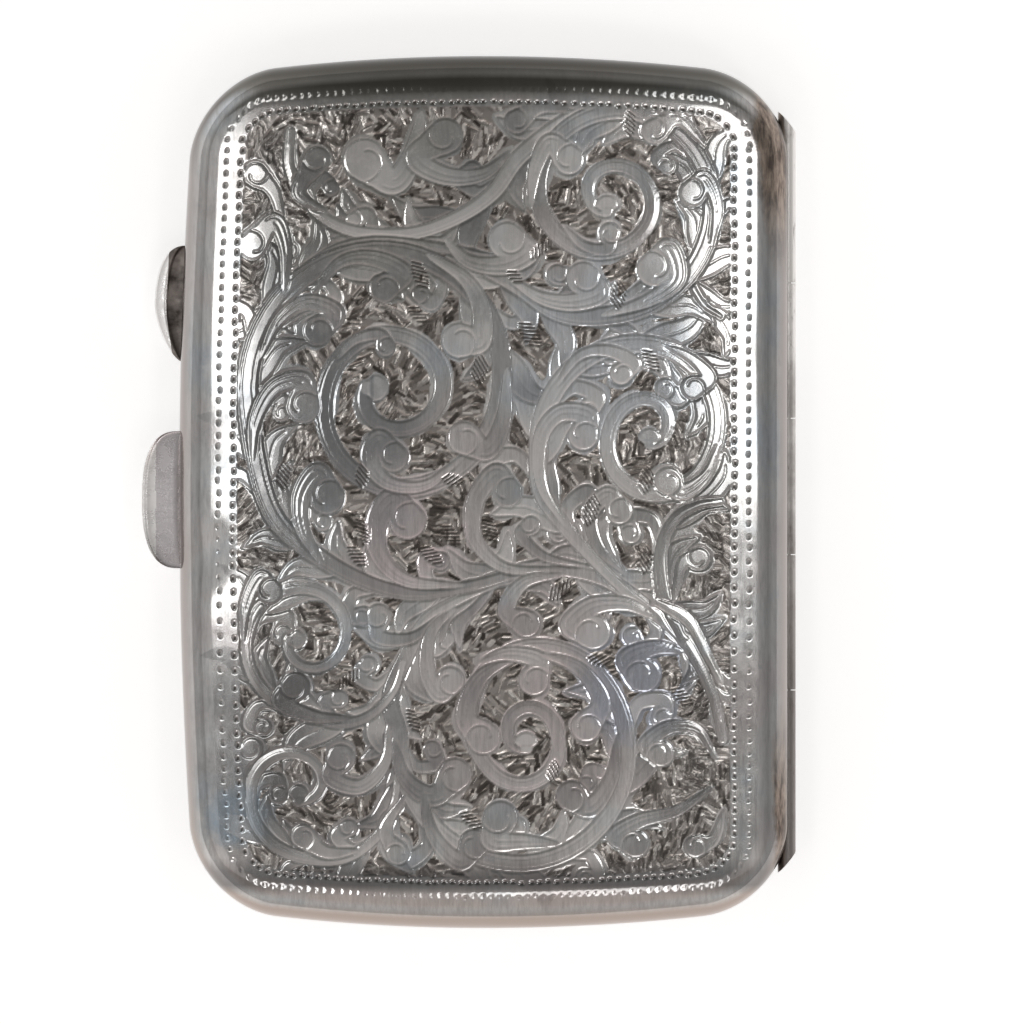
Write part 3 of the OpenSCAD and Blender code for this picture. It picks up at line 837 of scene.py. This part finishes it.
def strap_piece():
    """The elastic: a woven band with ribs across it and a rounded, denser selvedge."""
    n_along, n_round = 360, 44
    a = np.linspace(0, 2 * np.pi, n_round, endpoint=False)
    side = np.sign(np.cos(a)) * np.abs(np.cos(a)) ** 0.25
    up = np.sign(np.sin(a)) * np.abs(np.sin(a)) ** 0.5
    rings = []
    for s in np.linspace(-STRAP_HALF, STRAP_HALF, n_along + 1):
        rib = 1 - 0.16 * math.cos(2 * math.pi * s / 0.9)
        y = (STRAP_W / 2 - 0.03) * side
        z = STRAP_Z + STRAP_T / 2 + STRAP_T / 2 * up * rib * 0.92
        rings.append(wrap(s, y, z))
    return tube_piece("strap_elastic", rings)


bezel = bezel_piece()
lid_thumb = thumb_piece(
    "thumb_lid", 14.5, 3.95, -0.8,
    [(0, 0.35), (0.1, 0.48), (0.2, 0.62), (0.35, 0.71), (0.5, 0.79), (0.75, 0.93), (0.87, 1.04),
     (0.93, 1.2), (0.97, 1.28), (0.99, 1.22)],
    [(0, 0.14), (0.3, 0.13), (0.62, 0.14), (0.85, 0.3), (0.97, 0.6), (1.0, 1.0)], 2.6, 2.6,
)
base_thumb = thumb_piece(
    "thumb_base", 12.3, 3.2, 19.9,
    [(0, -0.7), (0.25, -0.66), (0.45, -0.6), (0.6, -0.46), (0.67, -0.27), (0.73, -0.2), (0.86, -0.2),
     (0.94, -0.24), (0.98, -0.32)],
    [(0, -1.14), (0.3, -1.14), (0.6, -1.12), (0.85, -0.98), (0.97, -0.7), (1.0, -0.35)], 2.4, 1.5,
)
strap = strap_piece()

for piece, body, node, slot in (
    (lid, "lid", "lid_shell", "engraved_silver"),
    (base, "base", "base_shell", "silver"),
    (bezel, "base", "base_bezel", "gilt_silver"),
    (lid_thumb, "lid", "lid_thumb_piece", "silver"),
    (base_thumb, "base", "base_thumb_piece", "silver"),
    (strap, "base", "card_strap", "elastic_webbing"),
):
    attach(piece, body)
    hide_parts(node)

# ---------------------------------------------------------------- materials


class Nodes:
    """A short way to wire a node tree."""

    def __init__(self, tree):
        self.tree = tree
        self.place = self.add("ShaderNodeTexCoord").outputs

    def feed(self, socket, value):
        """Links a socket to an output, or sets its number, vector or colour."""
        if isinstance(value, bpy.types.NodeSocket):
            self.tree.links.new(value, socket)
        else:
            socket.default_value = (*value, 1) if socket.type == "RGBA" else value

    def add(self, kind, inputs=(), **settings):
        """A new node, with its settings made before its sockets are fed."""
        made = self.tree.nodes.new(kind)
        for key, value in settings.items():
            setattr(made, key, value)
        for key, value in dict(inputs).items():
            self.feed(made.inputs[key], value)
        return made

    def ramp(self, value, stops):
        """A colour or a grey by value, from stops in rising order."""
        made = self.add("ShaderNodeValToRGB", {"Fac": value})
        elements = made.color_ramp.elements
        while len(elements) < len(stops):
            elements.new(0.5)
        for element, (at, tone) in zip(elements, stops):
            element.position = at
            element.color = (*tone, 1) if isinstance(tone, tuple) else (tone, tone, tone, 1)
        return made.outputs["Color"]

    def span(self, value, low, high, to_low, to_high):
        """Maps low to high onto to_low to to_high, and stops at the ends."""
        inputs = {"Value": value, "From Min": low, "From Max": high, "To Min": to_low, "To Max": to_high}
        return self.add("ShaderNodeMapRange", inputs).outputs[0]

    def blend(self, fac, a, b):
        return self.add("ShaderNodeMix", {0: fac, 6: a, 7: b}, data_type="RGBA").outputs[2]

    def plus(self, a, b):
        return self.add("ShaderNodeMath", {0: a, 1: b}, operation="ADD").outputs[0]

    def times(self, a, b):
        return self.add("ShaderNodeMath", {0: a, 1: b}, operation="MULTIPLY").outputs[0]


class Shader(Nodes):
    """A procedural material. Its places are in the piece's own space."""

    def __init__(self, name):
        self.material = bpy.data.materials.new(name)
        self.material.use_nodes = True
        self.material.node_tree.nodes.clear()
        super().__init__(self.material.node_tree)
        self.surface = self.add("ShaderNodeBsdfPrincipled")
        self.add("ShaderNodeOutputMaterial", {"Surface": self.surface.outputs["BSDF"]})

    def noise(self, scale, stretch=(1, 1, 1), detail=4.0, rough=0.6, turn=0.0):
        """Noise whose features are about 1/scale mm across; stretch makes streaks."""
        mapping = self.add("ShaderNodeMapping", {
            "Vector": self.place["Object"], "Scale": [s / MM for s in stretch],
            "Rotation": (0, 0, math.radians(turn)),
        })
        inputs = {"Vector": mapping.outputs[0], "Scale": scale, "Detail": detail, "Roughness": rough}
        return self.add("ShaderNodeTexNoise", inputs).outputs["Fac"]

    def along(self, axis):
        """The place along one axis of the piece, in metres."""
        return self.add("ShaderNodeSeparateXYZ", {"Vector": self.place["Object"]}).outputs[axis]

    def between(self, axis, low, high, to_low=0, to_high=1):
        """Goes from to_low to to_high between two places along an axis, in mm."""
        return self.span(self.along(axis), low * MM, high * MM, to_low, to_high)

    def ragged_spot(self, middle, reach):
        """1 at a place seen from above, in mm, falling to 0 this far away, with a ragged edge."""
        mapping = self.add("ShaderNodeMapping", {
            "Vector": self.place["Object"], "Scale": (1 / reach / MM, 1 / reach / MM, 0),
            "Location": ((-SHIFT_X - middle[0]) / reach, -middle[1] / reach, 0),
        })
        fall = self.add("ShaderNodeTexGradient", {"Vector": mapping.outputs[0]}, gradient_type="SPHERICAL")
        ragged = self.plus(fall.outputs["Fac"], self.times(self.noise(0.25, detail=5), 0.9))
        return self.span(ragged, 0.6, 0.95, 0, 1)

    def attribute(self, name):
        return self.add("ShaderNodeAttribute", attribute_name=name).outputs["Fac"]

    def finish(self, colour, roughness, height, bump_mm, metallic=1.0):
        """Feeds the surface and gives the material."""
        bump = self.add("ShaderNodeBump", {"Height": height, "Distance": bump_mm * MM, "Strength": 1.0})
        for key, value in (("Base Color", colour), ("Roughness", roughness),
                           ("Normal", bump.outputs["Normal"]), ("Metallic", metallic)):
            self.feed(self.surface.inputs[key], value)
        return self.material


def scratches(s, turn):
    """Fine hairlines in two directions, from 0 to 1."""
    one = s.noise(1.0, (0.12, 9, 9), 3, 0.7, turn)
    two = s.noise(1.0, (9, 0.15, 9), 3, 0.7, turn + 25)
    return s.times(s.span(one, 0.35, 0.65, 0, 1), s.span(two, 0.3, 0.7, 0.4, 1))


def worn_metal(name, light, dark, rough, tone_scale=0.12, grain_mm=0.0003, turn=20.0, toning=0.5):
    """Old polished metal: soft toning in patches, hairline scratches and duller spots."""
    s = Shader(name)
    patches = s.noise(tone_scale, detail=5)
    colour = s.blend(s.span(patches, 0.35, 0.7, 0, toning), light, dark)
    fine = scratches(s, turn)
    dull = s.noise(0.7, detail=6)
    roughness = s.plus(s.span(dull, 0.3, 0.7, rough * 0.7, rough * 1.3), s.span(fine, 0, 1, -0.03, 0.05))
    return s.finish(colour, roughness, s.plus(fine, s.times(dull, 0.4)), grain_mm)


def hinge_silver():
    """The hinge tube: painted light makes it bright towards its far end, and painted shade duller and
    browner towards its near end.
    """
    s = Shader("silver_tube")
    wander = s.span(s.noise(0.12, detail=5), 0.3, 0.7, -14 * MM, 14 * MM)
    # painted light and shade along the tube
    lit_along_tube = s.span(s.plus(s.along("Y"), wander), -22 * MM, 16 * MM, 0, 1)
    colour = s.ramp(lit_along_tube, [(0.0, (0.24, 0.22, 0.21)), (0.5, (0.40, 0.38, 0.365)),
                             (1.0, (0.80, 0.78, 0.76))])
    spots = s.noise(1.1, (1, 0.3, 1), 6, 0.7)
    colour = s.blend(s.span(spots, 0.55, 0.72, 0, 0.7), colour, (0.12, 0.09, 0.075))
    fine = scratches(s, 80)
    rough = s.plus(s.span(spots, 0.3, 0.7, 0.28, 0.4), s.span(fine, 0, 1, -0.03, 0.05))
    return s.finish(colour, rough, s.plus(fine, spots), 0.0006)


# Patches of tone on the lid's leaves: middle across and along, reach, tone. The last one, low on the left,
# is a painted glint.
TONE_PATCHES = [
    ((-10, 33), 22, (0.34, 0.335, 0.315)), ((6, -22), 17, (0.78, 0.70, 0.69)),
    ((-8, -4), 9, (0.90, 0.80, 0.81)), ((13, 14), 15, (0.76, 0.82, 0.88)),
    ((-17, 8), 15, (0.38, 0.395, 0.41)), ((16, -20), 9, (0.54, 0.60, 0.72)),
    ((19, -2), 12, (0.74, 0.73, 0.71)), ((-18, -28), 17, (0.36, 0.355, 0.36)),
    # a painted glint: a small bluish light patch low on the left
    ((-25.4, -34), 5, (0.46, 0.60, 0.72)),
]


def leaf_tone(s, tint):
    """The polished leaves: toned in patches, one of them a painted glint, streaked, and each with its own
    tone.
    """
    leaf = s.ramp(s.noise(0.11, detail=4), [(0.36, (0.80, 0.755, 0.745)), (0.52, (0.84, 0.835, 0.82)),
                                            (0.66, (0.68, 0.735, 0.785))])
    # lighter, darker and bluer patches, and the last patch is a painted glint
    for middle, reach, tone in TONE_PATCHES:
        leaf = s.blend(s.times(s.ragged_spot(middle, reach), 0.75), leaf, tone)
    streaks = s.noise(1.0, (2.5, 0.35, 1), 4, 0.65, 12)
    leaf = s.blend(s.span(streaks, 0.4, 0.75, 0, 0.45), leaf, (0.30, 0.295, 0.29))
    leaf = s.blend(s.span(s.noise(0.9, detail=6, rough=0.75), 0.5, 0.8, 0, 0.6), leaf, (0.80, 0.79, 0.77))
    leaf = s.blend(s.span(tint, 0.0, 0.5, 0.45, 0), leaf, (0.17, 0.17, 0.175))
    return s.blend(s.span(tint, 0.5, 1.0, 0, 0.6), leaf, (0.98, 0.96, 0.94))


def hinge_strip_darkening(s):
    """Where the strip by the ends of the hinge tube is dark, and the tone of that strip."""
    ragged = s.plus(s.along("X"), s.span(s.noise(0.3, detail=5), 0.3, 0.7, -0.5 * MM, 0.5 * MM))
    ragged = s.plus(ragged, s.between("Y", 22, 38, 0, 2.2 * MM))
    strip = s.span(ragged, (30.3 + SHIFT_X) * MM, (31.0 + SHIFT_X) * MM, 0, 1)
    from_middle = s.add("ShaderNodeMath", {0: s.along("Y")}, operation="ABSOLUTE").outputs[0]
    hinge_strip_tone = s.ramp(s.noise(1.2, (1, 0.25, 1), 6, 0.7), [(0.4, (0.07, 0.05, 0.04)),
                                                          (0.62, (0.34, 0.27, 0.22))])
    return s.times(strip, s.span(from_middle, 22 * MM, 32 * MM, 0, 0.9)), hinge_strip_tone


def engraved_silver():
    """The lid: satin leaves toned in patches, darker and warmer cut ground with painted glints, and a rim
    toned along the case with painted reflection and shade, with painted shade on the panel's sides, the
    edge's roll, the near border and the far end.
    """
    s = Shader("silver_engraved")
    ground, cut, tint, panel = (s.attribute(name) for name in ("ground", "cut", "tint", "panel"))
    # the cut ground's strokes take random tones, and the brightest of them are painted glints
    stroke = s.ramp(tint, [(0.0, (0.07, 0.062, 0.055)), (0.35, (0.25, 0.225, 0.205)),
                           (0.7, (0.56, 0.52, 0.49)), (1.0, (0.97, 0.93, 0.88))])
    colour = s.blend(ground, leaf_tone(s, tint), stroke)
    # the plain border is a little darker than the leaves
    colour = s.blend(s.span(panel, 0, 0.4, 0.35, 0), colour, (0.15, 0.148, 0.147))
    # painted shade: the engraved panel is darker along both sides than the polished border beside them
    across = s.between("X", -32 + SHIFT_X, 32 + SHIFT_X)
    panel_side_shade = s.ramp(across, [(0.11, 0.78), (0.28, 0), (0.74, 0), (0.88, 0.52)])
    colour = s.blend(s.times(panel, panel_side_shade), colour, (0.13, 0.128, 0.125))
    # and painted shade makes the roll of the edge darker than the border, most of all on the hinge side
    roll_shade = s.ramp(across, [(0.03, 0.3), (0.05, 0), (0.945, 0), (0.965, 0.5)])
    colour = s.blend(roll_shade, colour, (0.10, 0.10, 0.105))
    colour = s.blend(s.span(cut, 0.28, 0.75, 0, 0.85), colour, (0.10, 0.088, 0.08))
    # the rim's tone along the case, warmer at the near end and dark at the far end: painted reflection and
    # shade
    rim_reflection_and_shade = s.ramp(s.between("Y", -HALF_L, HALF_L), [
        (0.04, (0.40, 0.33, 0.29)), (0.16, (0.38, 0.34, 0.32)), (0.86, (0.34, 0.31, 0.297)),
        (0.97, (0.07, 0.066, 0.058)),
    ])
    colour = s.blend(s.attribute("rim"), colour, rim_reflection_and_shade)
    # painted shade: the far end is darkened
    far_end_shade = s.ramp(s.between("Y", 41.5, 45.5), [(0.0, (0.20, 0.19, 0.17)), (0.6, (0.10, 0.095, 0.085)),
                                                 (1.0, (0.06, 0.056, 0.05))])
    colour = s.blend(s.between("Y", 41.2, 42.8, 0, 0.85), colour, far_end_shade)
    # painted shade darkens the border at the near end
    near_border_shade = s.ramp(s.between("Y", -43.5, -38.5), [(0.2, 0), (0.42, 0.75), (0.7, 0.6), (1.0, 0)])
    colour = s.blend(near_border_shade, colour, (0.16, 0.155, 0.155))
    # a dark, brownish strip beside the ends of the hinge tube
    by_hinge, hinge_strip_tone = hinge_strip_darkening(s)
    colour = s.blend(by_hinge, colour, hinge_strip_tone)
    fine = scratches(s, 30)
    dull = s.noise(0.5, detail=6)
    rough = s.plus(s.span(dull, 0.3, 0.7, 0.08, 0.16), s.span(ground, 0, 1, 0.0, 0.08))
    return s.finish(colour, rough, s.plus(fine, s.times(dull, 0.5)), 0.0003)


def webbing():
    """Brown elastic: two-tone threads woven square, with a fuzzy, matt surface."""
    s = Shader("elastic_woven")
    mapping = s.add("ShaderNodeMapping", {"Vector": s.place["Object"], "Scale": [1 / MM] * 3})
    warp, weft = [
        s.add("ShaderNodeTexWave", {"Vector": mapping.outputs[0], "Scale": scale, "Distortion": 0.6},
              bands_direction=axis).outputs["Fac"]
        for scale, axis in ((0.55, "Y"), (0.7, "X"))
    ]
    weave = s.times(warp, weft)
    fuzz = s.noise(3.0, detail=6)
    colour = s.ramp(s.plus(s.times(weave, 0.6), s.times(fuzz, 0.5)),
                    [(0.15, (0.05, 0.032, 0.02)), (0.6, (0.20, 0.135, 0.08)), (1.0, (0.34, 0.25, 0.16))])
    s.surface.inputs["Sheen Weight"].default_value = 0.3
    rough = s.span(fuzz, 0.3, 0.7, 0.75, 0.95)
    return s.finish(colour, rough, s.plus(weave, s.times(fuzz, 0.6)), 0.05, 0.0)


silver = worn_metal("silver_worn", (0.52, 0.50, 0.485), (0.33, 0.31, 0.295), 0.18, 0.09)
thumb_silver = worn_metal("silver_handled", (0.68, 0.65, 0.66), (0.50, 0.47, 0.48), 0.27, 0.25)
# bright lips: polish from handling and a painted highlight
lip_polish_and_highlight = worn_metal("silver_lip_polish_and_highlight", (0.98, 0.97, 0.96), (0.80, 0.78, 0.77), 0.3, 0.3)
tarnished = worn_metal("silver_tarnished", (0.30, 0.27, 0.25), (0.06, 0.05, 0.045), 0.4, 0.6, 0.0015,
                       70, 1.0)
tube_silver = hinge_silver()
gilt = worn_metal("silver_gilt", (0.76, 0.60, 0.36), (0.62, 0.53, 0.41), 0.22, 0.12, toning=0.9)
lining = worn_metal("silver_gilt_lining", (0.74, 0.60, 0.38), (0.58, 0.51, 0.41), 0.26, 0.07, 0.0003,
                    5, 0.9)
engraved = engraved_silver()
elastic = webbing()


def dress(obj, *materials):
    """Puts the materials in the piece's slots and keeps which face has which slot."""
    slots = obj.data.materials
    for number, material in enumerate(materials):
        if number < len(slots):
            slots[number] = material
        else:
            slots.append(material)


dress(lid, engraved, lining)
dress(base, silver, lining)
dress(bezel, gilt)
dress(lid_thumb, thumb_silver, lip_polish_and_highlight)
dress(base_thumb, tarnished, lip_polish_and_highlight)
dress(strap, elastic)
# the lips of the thumb pieces stay bright, polished by handling and with a painted highlight, and the
# base's hollow is dark
LID_LIP, BASE_LIP = 2.6, 1.75
for piece in (lid_thumb, base_thumb):
    for face in piece.data.polygons:
        middle = face.center / MM
        edge = (at_opening(0.0, middle.y, 0.0)[0] + FRONT_BOW * (middle.y / HALF_L) ** 2) - middle.x
        lip = LID_LIP if piece == lid_thumb else BASE_LIP - 0.9 * max(0.0, 18.5 - middle.y) / 5
        face.material_index = int(edge > lip)

KNUCKLES = ["hinge_knuckle_" + str(number) for number in range(1, 6)]
PLUGS = ["hinge_plug_top", "hinge_plug_bottom"]
CLIPS = ["strap_clip_hinge_side", "strap_clip_opening_side"]
BEARERS = ["base_hinge_bearer", "lid_hinge_bearer"]
for names, material in ((KNUCKLES + PLUGS + ["hinge_pin"], tube_silver), (CLIPS + BEARERS, gilt),
                        (["snap_pips"], silver)):
    for name in names:
        dress(frame["nodes"][name], material)

# Hard CAD edges get the small round that filing and wear give them
for names, width in ((KNUCKLES, 0.05), (PLUGS, 0.06), (CLIPS, 0.08)):
    for name in names:
        bevel = frame["nodes"][name].modifiers.new("edge_wear", "BEVEL")
        bevel.width = width * MM
        bevel.segments = 2
        bevel.limit_method = "ANGLE"
        bevel.angle_limit = math.radians(40)

# ---------------------------------------------------------------- floor, camera, light


def make_floor():
    """A wide, pale paper floor that glows a little."""
    half, n = 900.0, 24
    side = np.linspace(-half, half, n + 1)
    x, y = np.meshgrid(side, side, indexing="ij")
    points = np.stack([x, y, np.zeros_like(x)], -1).reshape(-1, 3)
    floor = make_piece("floor", points, grid_quads(n + 1, n + 1))
    s = Shader("floor_paper")
    grain = s.noise(0.4, detail=5)
    pale = s.blend(grain, (0.86, 0.86, 0.86), (0.9, 0.9, 0.9))
    s.surface.inputs["Emission Color"].default_value = (1, 1, 1, 1)
    s.surface.inputs["Emission Strength"].default_value = 0.55
    dress(floor, s.finish(pale, s.span(grain, 0, 1, 0.7, 0.8), grain, 0.01, 0.0))


def make_camera():
    """Straight above the case: the middle of the view is right of and below the lid's middle."""
    height, lid_height, seen = 2000.0, 5.0, 108.1
    data = bpy.data.cameras.new("camera")
    data.sensor_width = 36
    data.lens = data.sensor_width * (height - lid_height) / seen
    data.clip_start, data.clip_end = 0.01, 10
    camera = bpy.data.objects.new("camera", data)
    camera.location = ((SHIFT_X + 3.0) * MM, -2.1 * MM, height * MM)
    bpy.context.scene.collection.objects.link(camera)
    bpy.context.scene.camera = camera


BOX_AWAY = 0.6


def softbox(name, angle, azimuth, size, power, along=0.0):
    """A soft light: angle from straight up, azimuth from +X towards +Y, both in degrees.

    It faces the case's middle, and is then moved by so much along Y. Its sizes are in metres.
    """
    data = bpy.data.lights.new(name, "AREA")
    data.shape, data.size, data.size_y = "RECTANGLE", size[0], size[1]
    data.energy = power
    light = bpy.data.objects.new(name, data)
    a, b = math.radians(angle), math.radians(azimuth)
    out, up = BOX_AWAY * math.sin(a), BOX_AWAY * math.cos(a)
    light.location = (out * math.cos(b), out * math.sin(b), up)
    light.rotation_mode = "QUATERNION"
    light.rotation_quaternion = light.location.to_track_quat("Z", "Y")
    light.location.y += along
    bpy.context.scene.collection.objects.link(light)


def make_world():
    """A plain grey room: darker high up beyond the far end, warmer beyond the near end, pale low down."""
    world = bpy.data.worlds.new("room")
    world.use_nodes = True
    w = Nodes(world.node_tree)
    towards = w.add("ShaderNodeSeparateXYZ", {0: w.place["Generated"]}).outputs
    high = w.ramp(w.span(towards["Y"], -1, 1, 0, 1), [
        (0.0, (0.62, 0.55, 0.51)), (0.32, (0.54, 0.49, 0.47)), (0.5, (0.37, 0.362, 0.355)),
        (0.66, (0.17, 0.167, 0.158)), (1.0, (0.16, 0.16, 0.15)),
    ])
    low = w.ramp(towards["Z"], [(0.0, 1), (0.3, 1), (0.6, 0)])
    tone = w.blend(low, high, (0.62, 0.61, 0.60))
    w.feed(world.node_tree.nodes["Background"].inputs["Color"], tone)
    bpy.context.scene.world = world


bpy.context.scene.view_settings.view_transform = "Standard"
make_floor()
make_camera()
# narrow lights that the polished border reflects, and dim, wide ones that the roll of the edge reflects
softbox("box_left", 23.4, 180, (0.054, 0.072), 0.05, 0.021)
softbox("box_right", 23.3, 0, (0.046, 0.08), 0.048, 0.027)
softbox("fill_left", 42, 180, (0.6, 0.32), 0.15)
softbox("fill_right", 42, 0, (0.6, 0.32), 0.08)
softbox("box_near", 24, -70, (0.2, 0.1), 0.1)
# small lights that only the slanted sides of the cuts catch
for number, (azimuth, power) in enumerate(((48, 0.05), (132, 0.05), (-48, 0.1), (-132, 0.1))):
    softbox("glint_" + str(number), 34, azimuth, (0.09, 0.09), power)
make_world()
